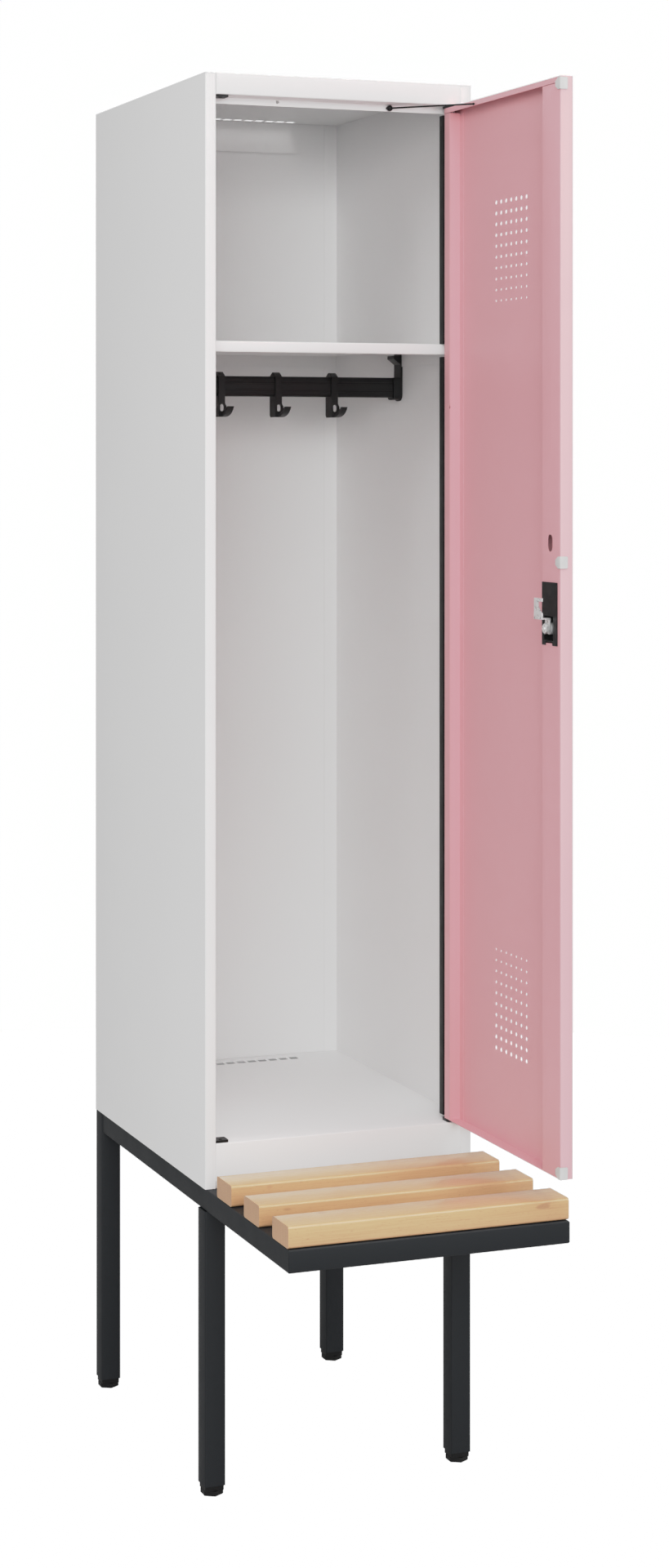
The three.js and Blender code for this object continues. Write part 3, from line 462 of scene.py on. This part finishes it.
def bumper(name):
    """A moulded bumper: the solid's form with a shorter pad and soft edges."""
    mesh = nodes[name].data.copy()
    start = min(v.co.y for v in mesh.vertices)
    for vertex in mesh.vertices:
        vertex.co.y = start + (vertex.co.y - start) * BUMPER_PAD_SHARE
    made = new_piece(f"moulded_{name}", mesh, "door", "grey_plastic", BUMPER_EDGE)
    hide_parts(name)


def slat_screw(side, number):
    """A pan-head screw that holds a slat, up through the side rail."""
    rail_low, rail_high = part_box(f"{side}_side_rail")
    slat_low, slat_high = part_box(f"bench_slat_{number}")
    place = ((rail_low.x + rail_high.x) / 2, (slat_low.y + slat_high.y) / 2, rail_low.z)
    rings = [0, *(round_ring(*point) for point in SCREW_HEAD),
             *(star_ring(*point) for point in SCREW_RECESS), SCREW_RECESS_FLOOR]
    new_piece(f"{side}_slat_screw_{number}", turned(rings, place, (0, 0, -1)), "locker", "zinc")


# Camera
def camera():
    data = bpy.data.cameras.new("camera")
    data.lens = CAMERA_LENS
    data.sensor_width = CAMERA_SENSOR
    data.shift_x, data.shift_y = CAMERA_SHIFT
    made = bpy.data.objects.new("camera", data)
    made.location = CAMERA_PLACE
    made.rotation_euler = (math.pi / 2, 0, -math.radians(CAMERA_YAW))
    bpy.context.scene.collection.objects.link(made)
    bpy.context.scene.camera = made


# Studio: white surroundings, four soft lights and a white floor
def surroundings():
    """White surroundings: one strength behind the object, another for the light that they cast."""
    world = bpy.data.worlds.new("studio")
    bpy.context.scene.world = world
    world.use_nodes = True
    tree = world.node_tree
    shader = tree.nodes["Background"]
    shader.inputs["Color"].default_value = (1, 1, 1, 1)
    way = tree.nodes.new("ShaderNodeTexCoord").outputs["Generated"]
    height = tree.nodes.new("ShaderNodeSeparateXYZ")
    tree.links.new(way, height.inputs[0])
    cast = mapped(tree, height.outputs["Z"], HORIZON_SPAN, (CAST_FROM_BELOW, CAST_FROM_ABOVE))
    path = tree.nodes.new("ShaderNodeLightPath")
    strength = tree.nodes.new("ShaderNodeMix")
    tree.links.new(path.outputs["Is Camera Ray"], strength.inputs["Factor"])
    tree.links.new(cast, strength.inputs["A"])
    strength.inputs["B"].default_value = SURROUNDINGS_SEEN
    tree.links.new(strength.outputs["Result"], shader.inputs["Strength"])


def area_light(name, place, aim, size, power):
    data = bpy.data.lights.new(name, "AREA")
    data.shape = "RECTANGLE"
    data.size, data.size_y = size
    data.energy = power
    made = bpy.data.objects.new(name, data)
    made.location = place
    way = Vector(aim) - Vector(place)
    made.rotation_euler = way.to_track_quat("-Z", "Y").to_euler()
    bpy.context.scene.collection.objects.link(made)


def floor():
    """A round white floor. It returns a little light, and shows only a share of its shading."""
    mesh = bpy.data.meshes.new("studio_floor")
    made = bpy.data.objects.new("studio_floor", mesh)
    disc = bmesh.new()
    bmesh.ops.create_circle(disc, cap_ends=True, segments=FLOOR_SIDES, radius=FLOOR_RADIUS)
    disc.to_mesh(mesh)
    disc.free()
    bpy.context.scene.collection.objects.link(made)
    material, tree, shader, _ = new_material("studio_floor", FLOOR_ROUGHNESS)
    shader.inputs["Base Color"].default_value = (FLOOR_ALBEDO, FLOOR_ALBEDO, FLOOR_ALBEDO, 1)
    shader.inputs["Specular IOR Level"].default_value = FLOOR_SPECULAR
    white = node(tree, "ShaderNodeEmission", Color=(1, 1, 1, 1), Strength=FLOOR_WHITE)
    path = tree.nodes.new("ShaderNodeLightPath")
    share = node(tree, "ShaderNodeMath", operation="MULTIPLY")
    share.inputs[1].default_value = 1 - FLOOR_SHADING_SHARE
    tree.links.new(path.outputs["Is Camera Ray"], share.inputs[0])
    mix = tree.nodes.new("ShaderNodeMixShader")
    tree.links.new(share.outputs[0], mix.inputs["Fac"])
    tree.links.new(shader.outputs["BSDF"], mix.inputs[1])
    tree.links.new(white.outputs["Emission"], mix.inputs[2])
    tree.links.new(mix.outputs["Shader"], tree.nodes["Material Output"].inputs["Surface"])
    mesh.materials.append(material)


def film(points):
    """The film's response: straight in the middle tones, with a soft shoulder for the lights."""
    view = bpy.context.scene.view_settings
    view.view_transform = "Standard"
    view.use_curve_mapping = True
    white = points[-1][0]
    mapping = view.curve_mapping
    mapping.white_level = (white, white, white)
    mapping.extend = "HORIZONTAL"
    combined = mapping.curves[3]
    while len(combined.points) < len(points):
        combined.points.new(0, 0)
    for point, (light, shown) in zip(combined.points, points):
        point.location = (light / white, shown)
    mapping.update()


# The studio, the finishes, the nodes that are carried over and the pieces that are made here
camera()
surroundings()
for name, values in LIGHTS.items():
    area_light(name, *values)
floor()
film(FILM)

finishes = {name: powder_coat(name, **values) for name, values in PAINTS.items()}
finishes.update({name: moulded(name, **values) for name, values in PLASTICS.items()})
finishes["zinc"] = plated("zinc", ZINC_COLOUR)
smoothing = smoothing_group()

for number in SLATS:
    dress(nodes[f"bench_slat_{number}"], slat_finish(number))
for part in frame["record"]["subparts"]:
    slot = part["material_slot"]
    if slot in finishes:
        dress(nodes[part["node"]], finishes[slot], EDGES.get(slot, 0.0))

for name in ("upper_bumper", "middle_bumper", "lower_bumper"):
    bumper(name)
cam_nut()
for side in ("left", "right"):
    for number in SLATS:
        slat_screw(side, number)
